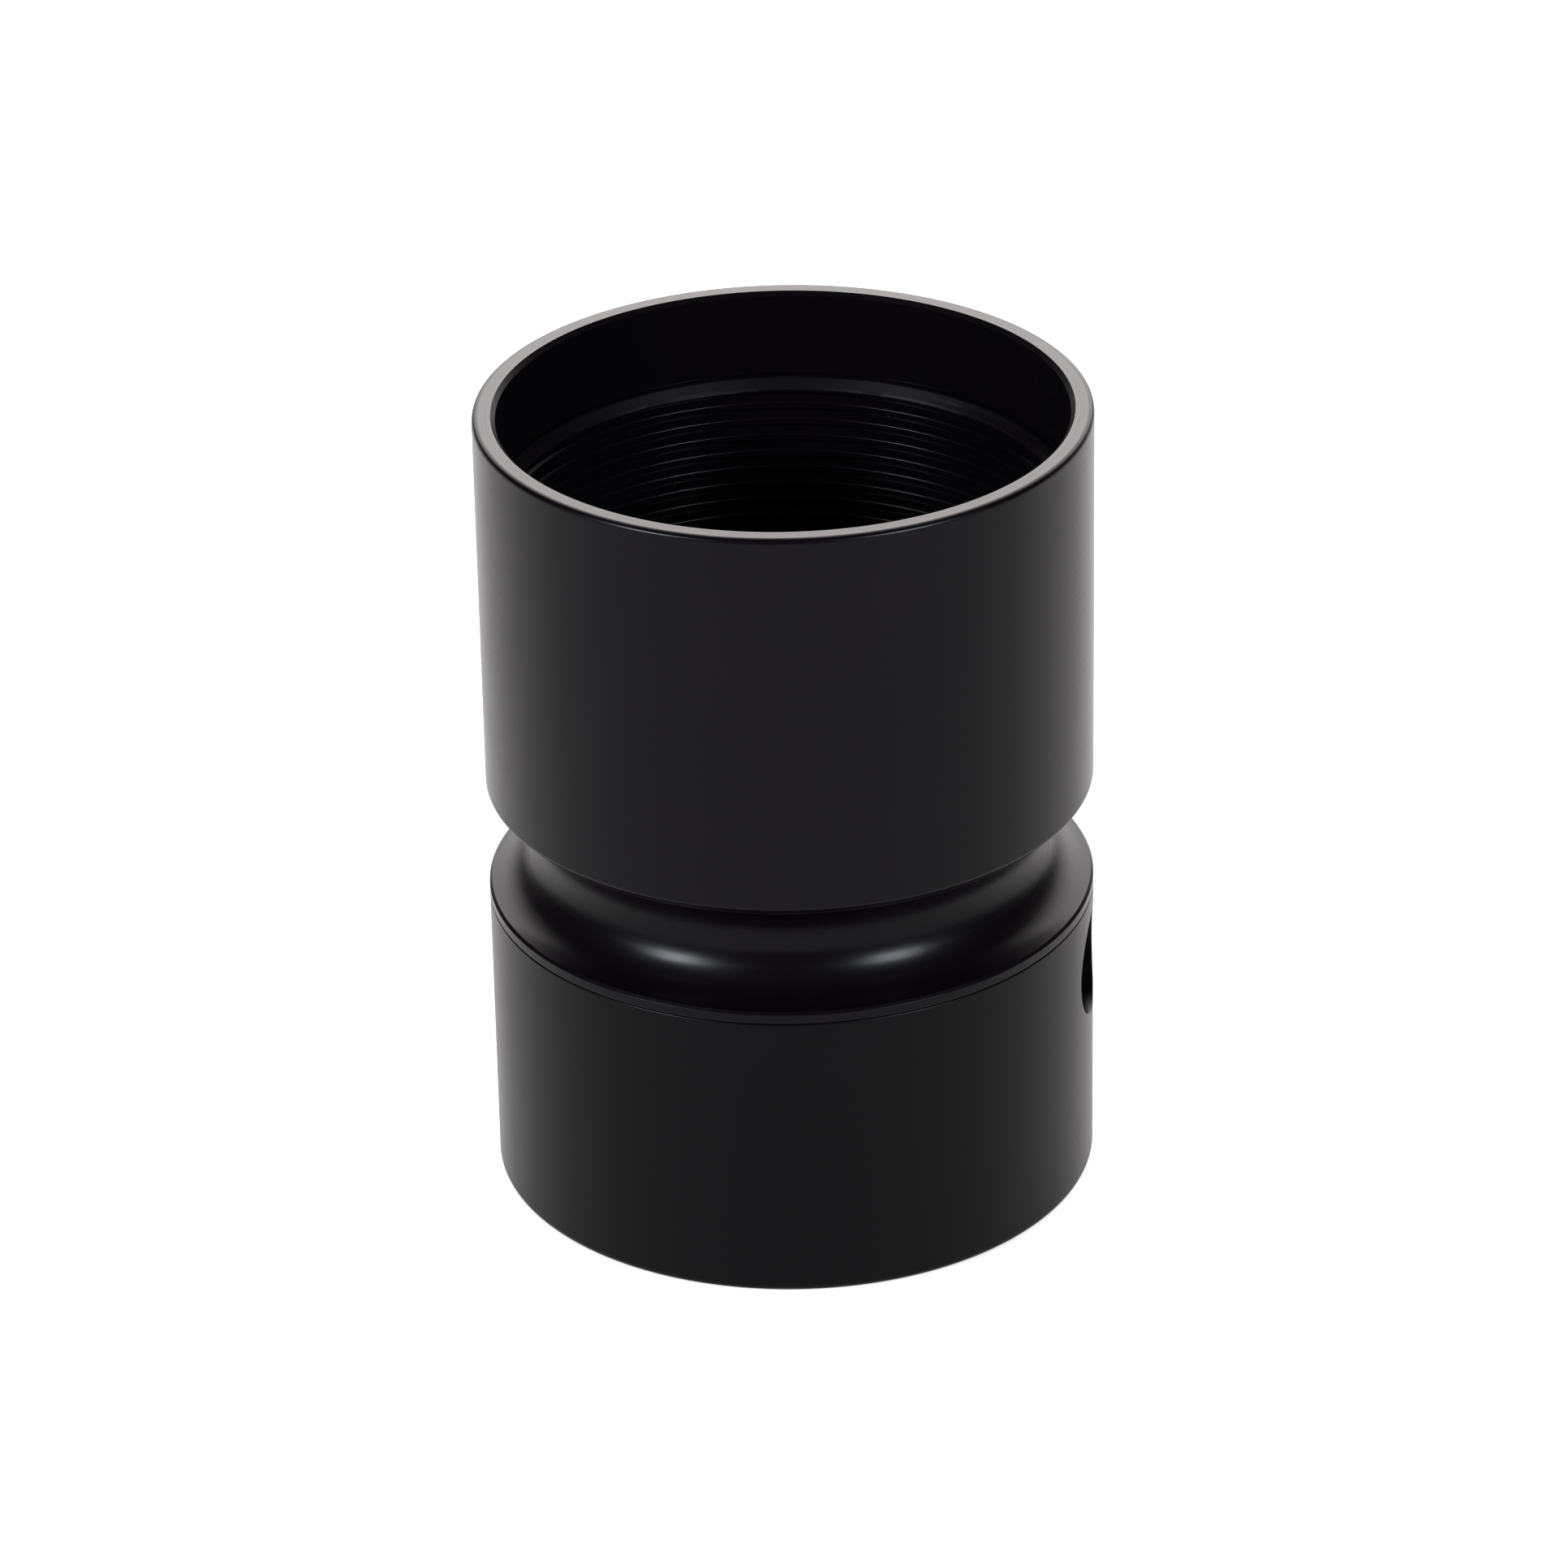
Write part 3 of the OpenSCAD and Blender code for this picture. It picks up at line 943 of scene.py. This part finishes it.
# angles in degrees, azimuth 0 towards -Y
CAMERA_AZIMUTH = 8.0
CAMERA_ELEVATION = 27.27
CAMERA_ROLL = -1.10
CAMERA_LENS = 165.72
SENSOR = 36.0
DISTANCE_IN_DIAMETERS = 11.8885
AIM_LEFT_IN_DIAMETERS = 0.0096
AIM_DOWN_IN_DIAMETERS = 0.0033

# room and glow: strengths, with the cosines of the angles between which each changes
ROOM_COLOUR = (1.0, 0.955, 0.96, 1.0)
ROOM_LEVEL = 0.045
OVERHEAD_LEVEL = 0.08
OVERHEAD_LOW = 0.6
OVERHEAD_HIGH = 0.85
BACK_LEVEL = 5.2
GLOW_RIGHT = 4.0
GLOW_ELEVATION = 31.0
GLOW_EDGE = 0.74
GLOW_CORE = 0.98

FLOOR_HALF = 3.0
FLOOR_BASE = (0.3, 0.295, 0.295, 1.0)
# the floor's emission is painted light: a glow that is dimmer in front of the object than behind it, with a
# painted shadow disc under the object
FLOOR_GLOW_COLOUR = (1.0, 0.96, 0.95, 1.0)
FLOOR_GLOW_FRONT = 0.86
FLOOR_GLOW_BACK = 1.2
FLOOR_RAMP = 1.6 * BODY_R
FLOOR_PAINTED_SHADOW_R = 0.94 * BODY_R
FLOOR_PAINTED_SHADOW_EDGE_R = 1.01 * BODY_R

# softboxes: azimuth from the camera's side and power in watts
PANELS = {"key_left": (-52.5, 5.2), "key_right": (45, 4.1)}
PANEL_ELEVATION = 27
PANEL_DISTANCE = 0.6
PANEL_SIZE = (0.17, 0.12)
PANEL_COLOUR = (0.87, 0.93, 1.0)


def direction(azimuth, elevation):
    """A unit vector from the object, azimuth 0 towards -Y and positive towards +X, in degrees."""
    a = math.radians(azimuth)
    e = math.radians(elevation)
    return Vector((math.sin(a) * math.cos(e), -math.cos(a) * math.cos(e), math.sin(e)))


def build_floor():
    """A pale sheet that glows with painted light, brighter behind the object than in front, with a painted
    shadow where the object stands on it.
    """
    mesh = bpy.data.meshes.new("floor")
    corners = [(x * FLOOR_HALF, y * FLOOR_HALF, 0) for x, y in ((-1, -1), (1, -1), (1, 1), (-1, 1))]
    mesh.from_pydata(corners, [], [(0, 1, 2, 3)])
    floor = bpy.data.objects.new("floor", mesh)
    bpy.context.scene.collection.objects.link(floor)
    n = Nodes("floor_white_painted_glow")
    n.set(Base_Color=FLOOR_BASE, Roughness=0.9, IOR=1.1, Emission_Color=FLOOR_GLOW_COLOUR)
    coords = n.add("ShaderNodeTexCoord").outputs["Object"]
    away = n.add("ShaderNodeVectorMath", operation="LENGTH")
    n.link(coords, away.inputs[0])
    back = n.add("ShaderNodeVectorMath", operation="DOT_PRODUCT")
    back.inputs[1].default_value = direction(CAMERA_AZIMUTH + 180, 0)
    n.link(coords, back.inputs[0])
    glow = n.remap(back.outputs["Value"], -FLOOR_RAMP, FLOOR_RAMP, FLOOR_GLOW_FRONT, FLOOR_GLOW_BACK)
    # painted shadow: no glow under the object's foot, out to just past its edge
    painted_shadow = n.remap(away.outputs["Value"], FLOOR_PAINTED_SHADOW_R, FLOOR_PAINTED_SHADOW_EDGE_R, 0.0, 1.0)
    n.link(n.math("MULTIPLY", glow, painted_shadow), n.bsdf.inputs["Emission Strength"])
    mesh.materials.append(n.material)


def build_panels():
    """Two soft panels facing the middle of the object."""
    for name, (azimuth, power) in PANELS.items():
        away = direction(azimuth + CAMERA_AZIMUTH, PANEL_ELEVATION)
        data = bpy.data.lights.new(name, "AREA")
        data.shape = "RECTANGLE"
        data.size, data.size_y = PANEL_SIZE
        data.energy = power
        data.color = PANEL_COLOUR
        lamp = bpy.data.objects.new(name, data)
        lamp.location = Vector((0, 0, TOP_Z / 2)) + away * PANEL_DISTANCE
        lamp.rotation_euler = away.to_track_quat("Z", "Y").to_euler()
        bpy.context.scene.collection.objects.link(lamp)


def build_world():
    """One large soft glow above and behind the object, and a dim room everywhere else."""
    world = bpy.data.worlds.new("surroundings")
    bpy.context.scene.world = world
    world.use_nodes = True
    tree = world.node_tree
    coords = tree.nodes.new("ShaderNodeTexCoord")

    def ramp(towards, low, high, to_low, to_high):
        along = tree.nodes.new("ShaderNodeVectorMath")
        along.operation = "DOT_PRODUCT"
        along.inputs[1].default_value = towards
        tree.links.new(coords.outputs["Generated"], along.inputs[0])
        return map_range(tree, along.outputs["Value"], low, high, to_low, to_high, eased=True)

    centre = direction(CAMERA_AZIMUTH - GLOW_RIGHT + 180, GLOW_ELEVATION)
    light = tree.nodes.new("ShaderNodeMath")
    light.operation = "ADD"
    tree.links.new(ramp(centre, GLOW_EDGE, GLOW_CORE, 0.0, BACK_LEVEL), light.inputs[0])
    tree.links.new(ramp((0, 0, 1), OVERHEAD_LOW, OVERHEAD_HIGH, ROOM_LEVEL, OVERHEAD_LEVEL), light.inputs[1])
    background = tree.nodes["Background"]
    background.inputs["Color"].default_value = ROOM_COLOUR
    tree.links.new(light.outputs[0], background.inputs["Strength"])


def build_camera():
    """A long lens above the front of the object, turned slightly about its own axis."""
    diameter = 2 * BODY_R
    middle = Vector((0, 0, TOP_Z / 2))
    away = direction(CAMERA_AZIMUTH, CAMERA_ELEVATION)
    right = direction(CAMERA_AZIMUTH + 90, 0)
    up = away.cross(right)
    data = bpy.data.cameras.new("camera")
    data.lens = CAMERA_LENS
    data.sensor_width = SENSOR
    data.clip_start = 0.01
    camera = bpy.data.objects.new("camera", data)
    camera.location = middle + away * diameter * DISTANCE_IN_DIAMETERS
    aim = middle - (right * AIM_LEFT_IN_DIAMETERS + up * AIM_DOWN_IN_DIAMETERS) * diameter
    look = (camera.location - aim).to_track_quat("Z", "Y").to_matrix()
    camera.rotation_euler = (look @ Matrix.Rotation(math.radians(CAMERA_ROLL), 3, "Z")).to_euler()
    bpy.context.scene.collection.objects.link(camera)
    bpy.context.scene.camera = camera


build_camera()
build_object()
build_floor()
build_world()
build_panels()
bpy.context.scene.view_settings.view_transform = "Standard"
